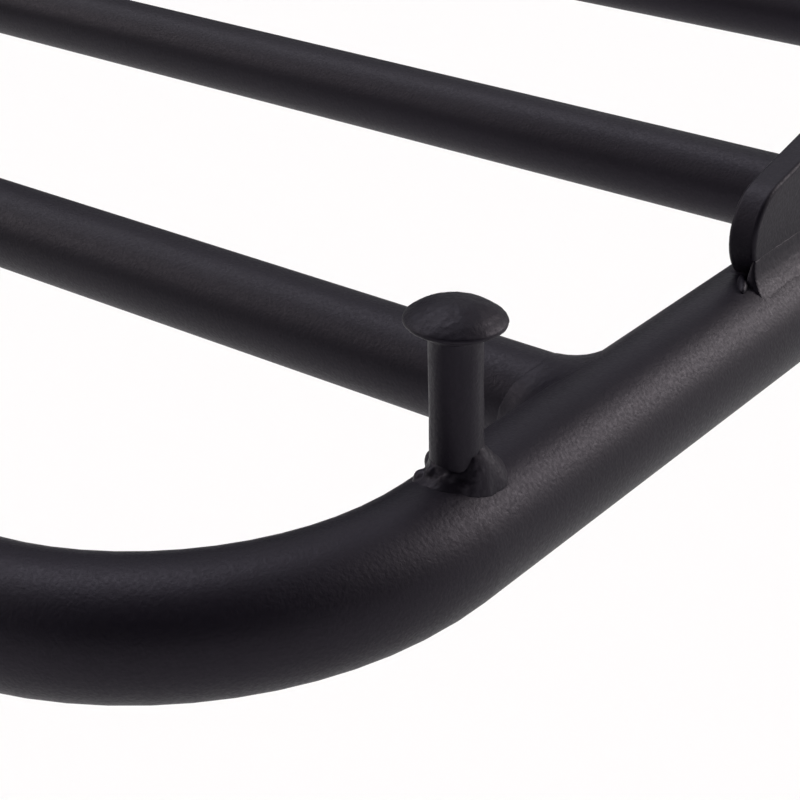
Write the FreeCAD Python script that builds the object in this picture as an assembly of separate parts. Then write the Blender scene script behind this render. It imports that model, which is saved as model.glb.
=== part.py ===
import FreeCAD, Part
import math
import os

# Folding luggage rack for the back of a light vehicle, in millimetres.
# A welded tube deck carries the load and folds up on two pivots, held by a spring plunger.
# The fixed frame is a hoop of tube with four bolted feet.
#
# Frame: +Z up, X across, +Y towards the vehicle. The panel that the feet bolt to is the
# plane Y = 0, and the origin is the centre of the four bolt holes.

# ---- Tube sizes ----
MAIN_OD = 16.0
BAR_OD = 12.0
FIRST_CROSSBAR_OD = 12.7
TUBE_WALL = 1.5
BEND_RADIUS = 40.0
HINGE_OD = 22.0
HINGE_WALL = 2.5

# ---- Fixed frame ----
FRAME_HALF_WIDTH = 100.0
FRAME_Y = -30.0
FRAME_TOP_Z = 165.0
FRAME_BOTTOM_Z = -139.0
UPPER_BAR_Z = 62.0
LOWER_BAR_Z = -127.0

# ---- Bolted feet ----
BOLT_HALF_X = 76.0
BOLT_HALF_Z = 100.0
BOLT_HOLE_R = 4.25
FOOT_PLATE = 4.0
FOOT_HEIGHT = 34.0
FOOT_EDGE = 14.0
FOOT_BEND = 5.0
FOOT_CORNER = 8.0
PAD_THICKNESS = 3.0
PAD_LIP = 1.5

# ---- Pivot line ----
HINGE_NOTCH = 2.0
PIVOT_Y = FRAME_Y - MAIN_OD / 2 - HINGE_OD / 2 + HINGE_NOTCH
PIVOT_Z = -52.0
HINGE_HALF_LENGTH = 121.4
BOSS_LENGTH = 24.0
THREAD_R = 4.0
SHOULDER_R = 5.0
BOLT_HEAD_R = 8.5
BOLT_HEAD_HEIGHT = 5.5
BOLT_HEAD_CHAMFER = 1.0
BOLT_TIP_GAP = 4.0
SOCKET_ACROSS_FLATS = 6.0
SOCKET_DEPTH = 3.5
THRUST_WASHER = 1.3
RUNNING_GAP = 0.05
SIDE_GAP = 0.3

# ---- Folding deck ----
DECK_HALF_WIDTH = 125.0
DECK_Z = -100.0
DECK_TAIL_Y = -356.0
DECK_REAR_Y = -38.0
CROSSBAR_SETBACKS = [74.0, 150.0, 231.0]
END_BAR_Y = -52.0
CAP_FLANGE = 3.0
CAP_PLUG = 10.0
CAP_EDGE_ROUND = 1.5

# ---- Hinge cheeks ----
CHEEK_THICKNESS = 4.0
CHEEK_NOSE_Y = -251.5
CHEEK_NOSE_RADIUS = 7.0
CHEEK_NOSE_RISE = 4.8
CHEEK_EYE_R = 15.0
CHEEK_EDGE_ROUND = 0.6
CHEEK_SINK = 0.6
CHEEK_REAR_SETBACK = 2.0
BUSH_R = 7.0
BUSH_FLANGE_R = 10.5
BUSH_FLANGE = 1.0

# ---- Strap studs ----
STUD_PAST_BEND = 3.0
STUD_Y = DECK_TAIL_Y + BEND_RADIUS + STUD_PAST_BEND
STUD_INNER_X = 92.0
STEM_R = 3.0
STUD_RIM_Z = 18.5
STUD_HEAD_R = 5.65
STUD_EDGE_R = 0.8
STUD_DOME_SLOPE = 17.0
STUD_UNDER_ANGLE = 140.0
STUD_NECK_Z = 17.3

# ---- Weld beads ----
BEAD_LEG = 2.6
BEAD_TOE_RISE = 0.25
BEAD_BULGE_OUT = 0.45
BEAD_BULGE_UP = 0.8
CHEEK_BEAD_R = 2.8
STITCH_LENGTH = 26.0
STITCH_PITCH = 76.0
STITCH_REAR_GAP = 4.0
WEB_BEAD_R = 2.2

# ---- Spring plunger and latch plate ----
LOCK_DY = -22.0
LOCK_DZ = -14.0
FOLD_ANGLE = 105.0
PIN_R = 3.0
PIN_HOLE_R = 3.05
PIN_STEM_R = 2.4
PIN_COLLAR_R = 4.6
PIN_COLLAR = 1.2
PIN_TRAVEL = 5.6
PIN_CHAMFER = 0.7
PIN_TIP_GAP = 0.8
HOUSING_R = 7.0
HOUSING_LENGTH = 19.0
HOUSING_FRONT = 4.5
HOUSING_END = 2.5
HOUSING_CHAMFER = 0.8
CHAMBER_R = 5.0
SPRING_WIRE_R = 0.4
SPRING_COIL_R = 4.1
SPRING_TURNS = 5
SPRING_SECTION_SIDES = 8
KNOB_R = 9.5
KNOB_LENGTH = 11.0
KNOB_FLUTES = 12
KNOB_FLUTE_R = 1.3
KNOB_FLUTE_OFFSET = 0.5
KNOB_EDGE_ROUND = 2.0
KNOB_END_WALL = 3.0
LATCH_PLATE = 4.0
LATCH_LOBE_R = 8.0
LATCH_HUB_R = 15.5

# ---- Rest buffers ----
BUFFER_R = 8.5
BUFFER_HOLLOW_R = 3.2
BUFFER_RECESS = 3.0
BUFFER_EDGE_ROUND = 1.2
BUFFER_SCREW_R = 2.0
BUFFER_SCREW_HEAD = 1.6

# ---- Worked-out values ----
MAIN_R = MAIN_OD / 2
BAR_R = BAR_OD / 2
HINGE_R = HINGE_OD / 2
CHEEK_INNER_X = DECK_HALF_WIDTH - CHEEK_THICKNESS / 2
CHEEK_OUTER_X = DECK_HALF_WIDTH + CHEEK_THICKNESS / 2
DECK_TOP_Z = DECK_Z + MAIN_R
CHEEK_FOOT_Z = DECK_TOP_Z - CHEEK_SINK
BAR_YS = [DECK_TAIL_Y + setback for setback in CROSSBAR_SETBACKS]
CROSSBARS = list(zip(BAR_YS, [FIRST_CROSSBAR_OD / 2, BAR_R, BAR_R]))
END_BAR = (END_BAR_Y, BAR_R)
SIDES = {"left": -1, "right": 1}
SAME = 0.01

V = FreeCAD.Vector
X_AXIS = V(1, 0, 0)
Y_AXIS = V(0, 1, 0)
Z_AXIS = V(0, 0, 1)


def rod(radius, start, end):
    """A solid cylinder from one point to another."""
    span = end - start
    return Part.makeCylinder(radius, span.Length, start, span)


def pipe(outer_r, inner_r, start, end):
    """A hollow cylinder from one point to another."""
    return rod(outer_r, start, end).cut(rod(inner_r, start, end))


def bent_rod(corners, bend, radius):
    """A round section swept along straight runs joined by tangent bends."""
    edges = []
    run_start = corners[0]
    for before, corner, after in zip(corners, corners[1:], corners[2:]):
        inward = (before - corner).normalize()
        outward = (after - corner).normalize()
        half_turn = (math.pi - inward.getAngle(outward)) / 2
        setback = bend * math.tan(half_turn)
        bend_start = corner + inward * setback
        bend_end = corner + outward * setback
        middle_line = (inward + outward).normalize()
        bend_middle = corner + middle_line * (bend / math.cos(half_turn) - bend)
        edges.append(Part.LineSegment(run_start, bend_start).toShape())
        edges.append(Part.Arc(bend_start, bend_middle, bend_end).toShape())
        run_start = bend_end
    edges.append(Part.LineSegment(run_start, corners[-1]).toShape())
    section = Part.Wire(Part.makeCircle(radius, corners[0], corners[1] - corners[0]))
    return Part.Wire(edges).makePipeShell([section], True, False)


def turned(profile, base, axis):
    """A turned solid: a closed wire in the X-Z half plane, spun round Z and stood on base."""
    solid = Part.Face(profile).revolve(V(0, 0, 0), Z_AXIS, 360)
    solid.Placement = FreeCAD.Placement(base, FreeCAD.Rotation(Z_AXIS, axis))
    return solid


def polyline(points):
    """A closed wire of straight edges."""
    return Part.makePolygon(points + points[:1])


def mirrored(shape):
    """The same shape on the other side of the rack."""
    return shape.mirror(V(0, 0, 0), X_AXIS)


def on_side(shape, side):
    """A right-hand shape, mirrored where the left-hand one is wanted."""
    return shape if side > 0 else mirrored(shape)


def pivot_point(x):
    return V(x, PIVOT_Y, PIVOT_Z)


# ---- Shared envelopes that other pieces are notched against ----

def deck_side_solid(grow=0.0):
    """The outside of the right-hand deck tube, as a plain cylinder."""
    tail = V(DECK_HALF_WIDTH, DECK_TAIL_Y, DECK_Z)
    return rod(MAIN_R + grow, tail, V(DECK_HALF_WIDTH, DECK_REAR_Y, DECK_Z))


def upright_solid(grow=0.0):
    """The outside of the right-hand upright of the frame, as a plain cylinder."""
    bottom = V(FRAME_HALF_WIDTH, FRAME_Y, FRAME_BOTTOM_Z)
    return rod(MAIN_R + grow, bottom, V(FRAME_HALF_WIDTH, FRAME_Y, FRAME_TOP_Z - BEND_RADIUS))


def inner_bar_solid(grow=0.0):
    """The outside of the third crossbar's right half, as a plain cylinder."""
    middle = V(0, BAR_YS[-1], DECK_Z)
    return rod(BAR_R + grow, middle, V(DECK_HALF_WIDTH, BAR_YS[-1], DECK_Z))


def collar_bead(post_r, base, axis, plate, plate_skin):
    """A fillet weld round a post where it stands on a tube or plate.

    plate is what the post stands on. plate_skin is the same thing grown by the bead's leg.
    """
    profile = polyline([
        V(0, 0, -MAIN_R),
        V(post_r + BEAD_LEG, 0, -MAIN_R),
        V(post_r + BEAD_LEG, 0, BEAD_TOE_RISE * BEAD_LEG),
        V(post_r + BEAD_BULGE_OUT * BEAD_LEG, 0, BEAD_BULGE_UP * BEAD_LEG),
        V(post_r, 0, BEAD_LEG),
        V(0, 0, BEAD_LEG),
    ])
    blob = turned(profile, base, axis).common(plate_skin)
    post = rod(post_r, base - axis * MAIN_R, base + axis * (2 * BEAD_LEG))
    return max(blob.cut(post).cut(plate).Solids, key=lambda solid: solid.Volume)


def rounded_rod(radius, start, end):
    """A cylinder with a ball on each end."""
    return rod(radius, start, end).fuse([Part.makeSphere(radius, start), Part.makeSphere(radius, end)])


# ---- Fixed frame ----

def frame_hoop():
    """Upside-down U of tube, open at both feet."""
    corners = [
        V(-FRAME_HALF_WIDTH, FRAME_Y, FRAME_BOTTOM_Z),
        V(-FRAME_HALF_WIDTH, FRAME_Y, FRAME_TOP_Z),
        V(FRAME_HALF_WIDTH, FRAME_Y, FRAME_TOP_Z),
        V(FRAME_HALF_WIDTH, FRAME_Y, FRAME_BOTTOM_Z),
    ]
    outside = bent_rod(corners, BEND_RADIUS, MAIN_R)
    hoop = outside.cut(bent_rod(corners, BEND_RADIUS, MAIN_R - TUBE_WALL))
    for screw_z in (DECK_Z, folded_bar_centre().z):
        for x in (-FRAME_HALF_WIDTH, FRAME_HALF_WIDTH):
            front = V(x, FRAME_Y - MAIN_OD, screw_z)
            hoop = hoop.cut(rod(BUFFER_SCREW_R, front, V(x, FRAME_Y, screw_z)))
    return hoop


def frame_bar(z):
    """A cross tube with its ends fish-mouthed to the uprights."""
    start = V(-FRAME_HALF_WIDTH, FRAME_Y, z)
    end = V(FRAME_HALF_WIDTH, FRAME_Y, z)
    bar = pipe(BAR_R, BAR_R - TUBE_WALL, start, end)
    return bar.cut(upright_solid()).cut(mirrored(upright_solid()))


def foot(side, level):
    """An angle bracket: a drilled flange on the panel and a web notched round the upright."""
    outer_x = FRAME_HALF_WIDTH + FOOT_PLATE / 2
    inner_x = BOLT_HALF_X - FOOT_EDGE
    face_y = -PAD_THICKNESS
    inside_y = face_y - FOOT_PLATE
    web_inner_x = outer_x - FOOT_PLATE
    inner_bend = FOOT_BEND - FOOT_PLATE
    middle = math.sqrt(0.5)
    bend_centre = V(outer_x - FOOT_BEND, face_y - FOOT_BEND, 0)
    outline = Part.Wire([
        Part.LineSegment(V(inner_x, inside_y, 0), V(inner_x, face_y, 0)).toShape(),
        Part.LineSegment(V(inner_x, face_y, 0), V(outer_x - FOOT_BEND, face_y, 0)).toShape(),
        Part.Arc(
            V(outer_x - FOOT_BEND, face_y, 0),
            bend_centre + V(FOOT_BEND * middle, FOOT_BEND * middle, 0),
            V(outer_x, face_y - FOOT_BEND, 0),
        ).toShape(),
        Part.LineSegment(V(outer_x, face_y - FOOT_BEND, 0), V(outer_x, FRAME_Y, 0)).toShape(),
        Part.LineSegment(V(outer_x, FRAME_Y, 0), V(web_inner_x, FRAME_Y, 0)).toShape(),
        Part.LineSegment(V(web_inner_x, FRAME_Y, 0), V(web_inner_x, inside_y - inner_bend, 0)).toShape(),
        Part.Arc(
            V(web_inner_x, inside_y - inner_bend, 0),
            bend_centre + V(inner_bend * middle, inner_bend * middle, 0),
            V(web_inner_x - inner_bend, inside_y, 0),
        ).toShape(),
        Part.LineSegment(V(web_inner_x - inner_bend, inside_y, 0), V(inner_x, inside_y, 0)).toShape(),
    ])
    centre_z = level * BOLT_HALF_Z
    blank = Part.Face(outline).extrude(V(0, 0, FOOT_HEIGHT))
    blank.translate(V(0, 0, centre_z - FOOT_HEIGHT / 2))
    flange_corners = [
        edge for edge in blank.Edges
        if abs(edge.Length - FOOT_PLATE) < SAME and abs(edge.CenterOfMass.x - inner_x) < SAME
    ]
    blank = blank.makeFillet(FOOT_CORNER, flange_corners)
    hole = rod(BOLT_HOLE_R, V(BOLT_HALF_X, 0, centre_z), V(BOLT_HALF_X, 2 * inside_y, centre_z))
    return on_side(blank.cut(hole).cut(upright_solid()), side)


def foot_pad(side, level):
    """A rubber pad between a foot and the panel, drilled for the bolt."""
    centre_z = level * BOLT_HALF_Z
    width = 2 * FOOT_EDGE
    half_height = FOOT_HEIGHT / 2
    pad = Part.makeBox(
        width, PAD_THICKNESS, FOOT_HEIGHT,
        V(BOLT_HALF_X - FOOT_EDGE, -PAD_THICKNESS, centre_z - half_height),
    )
    uprights = [edge for edge in pad.Edges if abs(edge.Length - PAD_THICKNESS) < SAME]
    pad = pad.makeFillet(FOOT_CORNER, uprights)
    hole = rod(BOLT_HOLE_R, V(BOLT_HALF_X, PAD_LIP, centre_z), V(BOLT_HALF_X, -2 * PAD_THICKNESS, centre_z))
    return on_side(pad.cut(hole), side)


def hinge_tube():
    """The heavy tube across the uprights that carries the two pivots, notched over each one."""
    left, right = pivot_point(-HINGE_HALF_LENGTH), pivot_point(HINGE_HALF_LENGTH)
    tube = pipe(HINGE_R, HINGE_R - HINGE_WALL, left, right)
    return tube.cut(upright_solid()).cut(mirrored(upright_solid()))


def hinge_boss(side):
    """A plug pressed and welded into the hinge tube's end, tapped for the pivot bolt."""
    inner = pivot_point(side * (HINGE_HALF_LENGTH - BOSS_LENGTH))
    return pipe(HINGE_R - HINGE_WALL, THREAD_R, inner, pivot_point(side * HINGE_HALF_LENGTH))


def pivot_bolt(side):
    """A shoulder bolt: thread in the boss, shoulder in the cheek's bush, socket head outside."""
    flange_x = CHEEK_OUTER_X + BUSH_FLANGE
    head_x = flange_x + SIDE_GAP
    tip_x = HINGE_HALF_LENGTH - BOSS_LENGTH + BOLT_TIP_GAP
    thread = rod(THREAD_R, pivot_point(tip_x), pivot_point(HINGE_HALF_LENGTH))
    shoulder = rod(SHOULDER_R, pivot_point(HINGE_HALF_LENGTH), pivot_point(head_x))
    head = rod(BOLT_HEAD_R, pivot_point(head_x), pivot_point(head_x + BOLT_HEAD_HEIGHT))
    rim = [edge for edge in head.Edges if abs(edge.CenterOfMass.x - head_x - BOLT_HEAD_HEIGHT) < SAME]
    head = head.makeChamfer(BOLT_HEAD_CHAMFER, rim)
    corner_r = SOCKET_ACROSS_FLATS / math.sqrt(3)
    socket_x = head_x + BOLT_HEAD_HEIGHT - SOCKET_DEPTH
    corners = []
    for turn in range(6):
        angle = turn * math.pi / 3
        corners.append(pivot_point(socket_x) + V(0, math.cos(angle), math.sin(angle)) * corner_r)
    socket = Part.Face(polyline(corners)).extrude(V(2 * SOCKET_DEPTH, 0, 0))
    return on_side(thread.fuse([shoulder, head]).removeSplitter().cut(socket), side)


def thrust_washer(side):
    """A nylon washer between the end of the hinge tube and the cheek."""
    inner_face = pivot_point(side * HINGE_HALF_LENGTH)
    outer_face = pivot_point(side * (HINGE_HALF_LENGTH + THRUST_WASHER))
    return pipe(HINGE_R, SHOULDER_R, inner_face, outer_face)


def latch_hole_centres():
    """Where the plunger drops in: with the deck down, and with it folded up."""
    fold = math.radians(FOLD_ANGLE)
    folded_dy = LOCK_DY * math.cos(fold) + LOCK_DZ * math.sin(fold)
    folded_dz = LOCK_DZ * math.cos(fold) - LOCK_DY * math.sin(fold)
    return [V(0, LOCK_DY, LOCK_DZ), V(0, folded_dy, folded_dz)]


def latch_plate():
    """A plate on the hinge tube's right end, with a lobe and a hole for each locked position."""
    inner_x = HINGE_HALF_LENGTH - LATCH_PLATE
    inner = pivot_point(inner_x)
    outer = pivot_point(HINGE_HALF_LENGTH)
    down, folded = latch_hole_centres()
    reach = down.Length
    plate = rod(LATCH_HUB_R, inner, outer)
    lobes = [rod(LATCH_LOBE_R, inner + centre, outer + centre) for centre in (down, folded)]
    rim_middle = (down + folded).normalize() * (reach + LATCH_LOBE_R)
    rim_ends = [centre + centre * (LATCH_LOBE_R / reach) for centre in (down, folded)]
    rim = Part.Arc(inner + rim_ends[0], inner + rim_middle, inner + rim_ends[1]).toShape()
    spokes = [
        Part.LineSegment(inner, inner + rim_ends[0]).toShape(),
        Part.LineSegment(inner + rim_ends[1], inner).toShape(),
    ]
    sector = Part.Face(Part.Wire([spokes[0], rim, spokes[1]])).extrude(outer - inner)
    plate = plate.fuse(lobes + [sector]).removeSplitter()
    for centre in (down, folded):
        plate = plate.cut(rod(PIN_HOLE_R, inner + centre, outer + centre))
    return plate.cut(rod(HINGE_R, inner, outer))


def folded_bar_centre():
    """Where the second crossbar's axis lies when the deck is folded up."""
    fold = math.radians(FOLD_ANGLE)
    dy = BAR_YS[1] - PIVOT_Y
    dz = DECK_Z - PIVOT_Z
    folded_y = PIVOT_Y + dy * math.cos(fold) + dz * math.sin(fold)
    folded_z = PIVOT_Z + dz * math.cos(fold) - dy * math.sin(fold)
    return V(0, folded_y, folded_z)


def buffer_places():
    """Centre of each right-hand buffer's face: low for the end bar, high for the folded deck."""
    stand_off = BAR_R + SIDE_GAP
    folded = folded_bar_centre()
    low = V(FRAME_HALF_WIDTH, END_BAR_Y + stand_off, DECK_Z)
    high = V(FRAME_HALF_WIDTH, folded.y + stand_off, folded.z)
    return [low, high]


def rest_buffer(side, face):
    """A rubber block on the front of an upright, with a recess for its screw."""
    block = rod(BUFFER_R, face, V(face.x, FRAME_Y, face.z))
    rim = [edge for edge in block.Edges if abs(edge.CenterOfMass.y - face.y) < SAME]
    block = block.makeFillet(BUFFER_EDGE_ROUND, rim)
    recess = rod(BUFFER_HOLLOW_R, face, face + Y_AXIS * BUFFER_RECESS)
    shank_hole = rod(BUFFER_SCREW_R, face, V(face.x, FRAME_Y, face.z))
    return on_side(block.cut(recess).cut(shank_hole).cut(upright_solid()), side)


def buffer_screw(side, face):
    """The screw that holds a rest buffer, sunk below the rubber's face."""
    seat = face + Y_AXIS * BUFFER_RECESS
    head = rod(BUFFER_HOLLOW_R, seat - Y_AXIS * BUFFER_SCREW_HEAD, seat)
    shank = rod(BUFFER_SCREW_R, seat, V(face.x, FRAME_Y - MAIN_R + 2 * TUBE_WALL, face.z))
    return on_side(head.fuse(shank).removeSplitter(), side)


def frame_beads():
    """Welds of the cross tubes, the hinge tube and the feet to the uprights."""
    beads = []
    inner_side = FRAME_HALF_WIDTH - MAIN_R
    for z in (UPPER_BAR_Z, LOWER_BAR_Z):
        base = V(inner_side, FRAME_Y, z)
        beads.append(collar_bead(BAR_R, base, -X_AXIS, upright_solid(), upright_solid(BEAD_LEG)))
    left, right = pivot_point(FRAME_HALF_WIDTH - 2 * MAIN_R), pivot_point(FRAME_HALF_WIDTH + 2 * MAIN_R)
    saddle = rod(HINGE_R + BEAD_LEG, left, right).common(upright_solid(BEAD_LEG))
    beads.append(saddle.cut(rod(HINGE_R, left, right)).cut(upright_solid()))
    for level in (-1, 1):
        half_run = FOOT_HEIGHT / 2 - 2 * WEB_BEAD_R
        for web_side in (-1, 1):
            x = FRAME_HALF_WIDTH + web_side * FOOT_PLATE / 2
            low = V(x, FRAME_Y + MAIN_R, level * BOLT_HALF_Z - half_run)
            bead = rounded_rod(WEB_BEAD_R, low, low + Z_AXIS * (2 * half_run))
            beads.append(bead.cut(upright_solid()).cut(foot(1, level)))
    return beads + [mirrored(bead) for bead in beads]


# ---- Folding deck ----

def deck_hoop():
    """The U of tube round the deck, from one pivot side to the other."""
    corners = [
        V(-DECK_HALF_WIDTH, DECK_REAR_Y, DECK_Z),
        V(-DECK_HALF_WIDTH, DECK_TAIL_Y, DECK_Z),
        V(DECK_HALF_WIDTH, DECK_TAIL_Y, DECK_Z),
        V(DECK_HALF_WIDTH, DECK_REAR_Y, DECK_Z),
    ]
    outside = bent_rod(corners, BEND_RADIUS, MAIN_R)
    return outside.cut(bent_rod(corners, BEND_RADIUS, MAIN_R - TUBE_WALL))


def deck_bar(y, radius):
    """A cross tube of the deck with its ends fish-mouthed to the side tubes."""
    left, right = V(-DECK_HALF_WIDTH, y, DECK_Z), V(DECK_HALF_WIDTH, y, DECK_Z)
    bar = pipe(radius, radius - TUBE_WALL, left, right)
    return bar.cut(deck_side_solid()).cut(mirrored(deck_side_solid()))


def end_cap(side):
    """A plastic plug in the open end of a side tube."""
    mouth = V(DECK_HALF_WIDTH, DECK_REAR_Y, DECK_Z)
    flange = rod(MAIN_R, mouth, mouth + Y_AXIS * CAP_FLANGE)
    rim = [edge for edge in flange.Edges if abs(edge.CenterOfMass.y - DECK_REAR_Y - CAP_FLANGE) < SAME]
    flange = flange.makeFillet(CAP_EDGE_ROUND, rim)
    plug = rod(MAIN_R - TUBE_WALL, mouth - Y_AXIS * CAP_PLUG, mouth)
    return on_side(flange.fuse(plug).removeSplitter(), side)


def foot_cap(side):
    """A plastic plug in the bottom of an upright."""
    mouth = V(FRAME_HALF_WIDTH, FRAME_Y, FRAME_BOTTOM_Z)
    flange = rod(MAIN_R, mouth, mouth - Z_AXIS * CAP_FLANGE)
    rim = [edge for edge in flange.Edges if abs(edge.CenterOfMass.z - FRAME_BOTTOM_Z + CAP_FLANGE) < SAME]
    flange = flange.makeFillet(CAP_EDGE_ROUND, rim)
    plug = rod(MAIN_R - TUBE_WALL, mouth + Z_AXIS * CAP_PLUG, mouth)
    return on_side(flange.fuse(plug).removeSplitter(), side)


def cheek_outline():
    """Side view of a cheek: a round nose, a straight rising edge and an eye round the pivot."""
    nose_centre = V(0, CHEEK_NOSE_Y + CHEEK_NOSE_RADIUS, DECK_TOP_Z + CHEEK_NOSE_RISE)
    nose_side = nose_centre - Y_AXIS * CHEEK_NOSE_RADIUS
    nose_drop = nose_centre.z - CHEEK_FOOT_Z
    nose_undercut = math.sqrt(CHEEK_NOSE_RADIUS ** 2 - nose_drop ** 2)
    nose_bottom = V(0, nose_centre.y - nose_undercut, CHEEK_FOOT_Z)
    eye = pivot_point(0)
    span = eye - nose_centre
    rise = math.atan2(span.z, span.y) - math.asin((CHEEK_NOSE_RADIUS - CHEEK_EYE_R) / span.Length)
    edge_normal = V(0, -math.sin(rise), math.cos(rise))
    nose_top = nose_centre + edge_normal * CHEEK_NOSE_RADIUS
    eye_top = eye + edge_normal * CHEEK_EYE_R
    rear_bottom = V(0, DECK_REAR_Y - CHEEK_REAR_SETBACK, CHEEK_FOOT_Z)
    drop = rear_bottom - eye
    rear_angle = math.atan2(drop.z, drop.y) + math.acos(CHEEK_EYE_R / drop.Length)
    eye_rear = eye + V(0, math.cos(rear_angle), math.sin(rear_angle)) * CHEEK_EYE_R
    top_angle = rise + math.pi / 2
    middle_angle = (top_angle + rear_angle) / 2
    eye_middle = eye + V(0, math.cos(middle_angle), math.sin(middle_angle)) * CHEEK_EYE_R
    return Part.Wire([
        Part.Arc(nose_bottom, nose_side, nose_top).toShape(),
        Part.LineSegment(nose_top, eye_top).toShape(),
        Part.Arc(eye_top, eye_middle, eye_rear).toShape(),
        Part.LineSegment(eye_rear, rear_bottom).toShape(),
        Part.LineSegment(rear_bottom, nose_bottom).toShape(),
    ])


def hinge_cheek(side):
    """The plate that stands on a side tube and carries the pivot bush; the right one is drilled."""
    plate = Part.Face(cheek_outline()).extrude(V(CHEEK_THICKNESS, 0, 0))
    plate.translate(V(CHEEK_INNER_X, 0, 0))
    rim = [
        edge for edge in plate.Edges
        if edge.BoundBox.XLength < SAME and edge.BoundBox.ZMax > CHEEK_FOOT_Z + SAME
    ]
    plate = plate.makeFillet(CHEEK_EDGE_ROUND, rim)
    plate = plate.cut(rod(BUSH_R, pivot_point(CHEEK_INNER_X), pivot_point(CHEEK_OUTER_X)))
    plate = plate.cut(deck_side_solid())
    if side > 0:
        lock_offset = latch_hole_centres()[0]
        inner = pivot_point(CHEEK_INNER_X) + lock_offset
        plate = plate.cut(rod(PIN_HOLE_R, inner, pivot_point(CHEEK_OUTER_X) + lock_offset))
    return on_side(plate, side)


def cheek_bush(side):
    """A flanged bronze bush in the eye of a cheek."""
    sleeve = rod(BUSH_R, pivot_point(CHEEK_INNER_X), pivot_point(CHEEK_OUTER_X))
    flange = rod(BUSH_FLANGE_R, pivot_point(CHEEK_OUTER_X), pivot_point(CHEEK_OUTER_X + BUSH_FLANGE))
    bore = rod(SHOULDER_R + RUNNING_GAP, pivot_point(CHEEK_INNER_X), pivot_point(CHEEK_OUTER_X + BUSH_FLANGE))
    return on_side(sleeve.fuse(flange).removeSplitter().cut(bore), side)


def leaning(angle):
    """A unit step in the X-Z plane, leaning from +Z towards +X by an angle in degrees."""
    return V(math.sin(math.radians(angle)), 0, math.cos(math.radians(angle)))


def stud_profile():
    """Half section of a strap stud: a plain stem under a lens-shaped head with a rounded edge."""
    edge_centre = V(STUD_HEAD_R - STUD_EDGE_R, 0, STUD_RIM_Z)
    dome_edge = edge_centre + leaning(STUD_DOME_SLOPE) * STUD_EDGE_R
    under_edge = edge_centre + leaning(STUD_UNDER_ANGLE) * STUD_EDGE_R
    dome_r = dome_edge.x / leaning(STUD_DOME_SLOPE).x
    dome_centre = dome_edge - leaning(STUD_DOME_SLOPE) * dome_r
    dome_middle = dome_centre + leaning(STUD_DOME_SLOPE / 2) * dome_r
    top = dome_centre + Z_AXIS * dome_r
    return Part.Wire([
        Part.LineSegment(V(0, 0, -STEM_R), V(STEM_R, 0, -STEM_R)).toShape(),
        Part.LineSegment(V(STEM_R, 0, -STEM_R), V(STEM_R, 0, STUD_NECK_Z)).toShape(),
        Part.LineSegment(V(STEM_R, 0, STUD_NECK_Z), under_edge).toShape(),
        Part.Arc(under_edge, edge_centre + X_AXIS * STUD_EDGE_R, dome_edge).toShape(),
        Part.Arc(dome_edge, dome_middle, top).toShape(),
        Part.LineSegment(top, V(0, 0, -STEM_R)).toShape(),
    ])


def strap_stud(side, base, tube):
    """A strap stud standing on a tube, with its foot notched to sit on it."""
    return on_side(turned(stud_profile(), base, Z_AXIS).cut(tube), side)


def tail_stud_base():
    return V(DECK_HALF_WIDTH, STUD_Y, DECK_TOP_Z)


def inner_stud_base():
    return V(STUD_INNER_X, BAR_YS[-1], DECK_Z + BAR_R)


def stud_beads():
    """Welds round the feet of the four strap studs."""
    tail = collar_bead(STEM_R, tail_stud_base(), Z_AXIS, deck_side_solid(), deck_side_solid(BEAD_LEG))
    inner = collar_bead(STEM_R, inner_stud_base(), Z_AXIS, inner_bar_solid(), inner_bar_solid(BEAD_LEG))
    return [tail, mirrored(tail), inner, mirrored(inner)]


def deck_bar_beads():
    """Welds of the deck's cross tubes to its side tubes."""
    cheek = hinge_cheek(1)
    beads = []
    for y, radius in CROSSBARS + [END_BAR]:
        base = V(DECK_HALF_WIDTH - MAIN_R, y, DECK_Z)
        bead = collar_bead(radius, base, -X_AXIS, deck_side_solid(), deck_side_solid(BEAD_LEG))
        beads.append(bead.cut(cheek))
    return beads + [mirrored(bead) for bead in beads]


def cheek_beads():
    """Stitch welds along both sides of each cheek's foot, and a run round its nose."""
    cheek = hinge_cheek(1)
    nose_y = CHEEK_NOSE_Y + CHEEK_THICKNESS / 2
    rear_y = DECK_REAR_Y - CHEEK_BEAD_R - STITCH_REAR_GAP
    outer_end_x = CHEEK_OUTER_X - CHEEK_THICKNESS / 4
    nose_corner = V(CHEEK_INNER_X, nose_y, DECK_TOP_Z)
    nose_run = rounded_rod(CHEEK_BEAD_R, V(outer_end_x, nose_y, DECK_TOP_Z), nose_corner)
    runs = [nose_run]
    for stitch in range(len(BAR_YS)):
        inner_start = V(CHEEK_INNER_X, nose_y + stitch * STITCH_PITCH, DECK_TOP_Z)
        runs.append(rounded_rod(CHEEK_BEAD_R, inner_start, inner_start + Y_AXIS * STITCH_LENGTH))
        outer_y = nose_y + (stitch + 0.5) * STITCH_PITCH
        outer_end = min(outer_y + STITCH_LENGTH, rear_y)
        outer_start = V(CHEEK_OUTER_X, outer_y, DECK_TOP_Z)
        runs.append(rounded_rod(CHEEK_BEAD_R, outer_start, V(CHEEK_OUTER_X, outer_end, DECK_TOP_Z)))
    first = runs[0].fuse(runs[1])
    beads = [run.cut(deck_side_solid()).cut(cheek) for run in [first] + runs[2:]]
    return beads + [mirrored(bead) for bead in beads]


# ---- Spring plunger ----

def lock_point(x):
    return pivot_point(x) + latch_hole_centres()[0]


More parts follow.
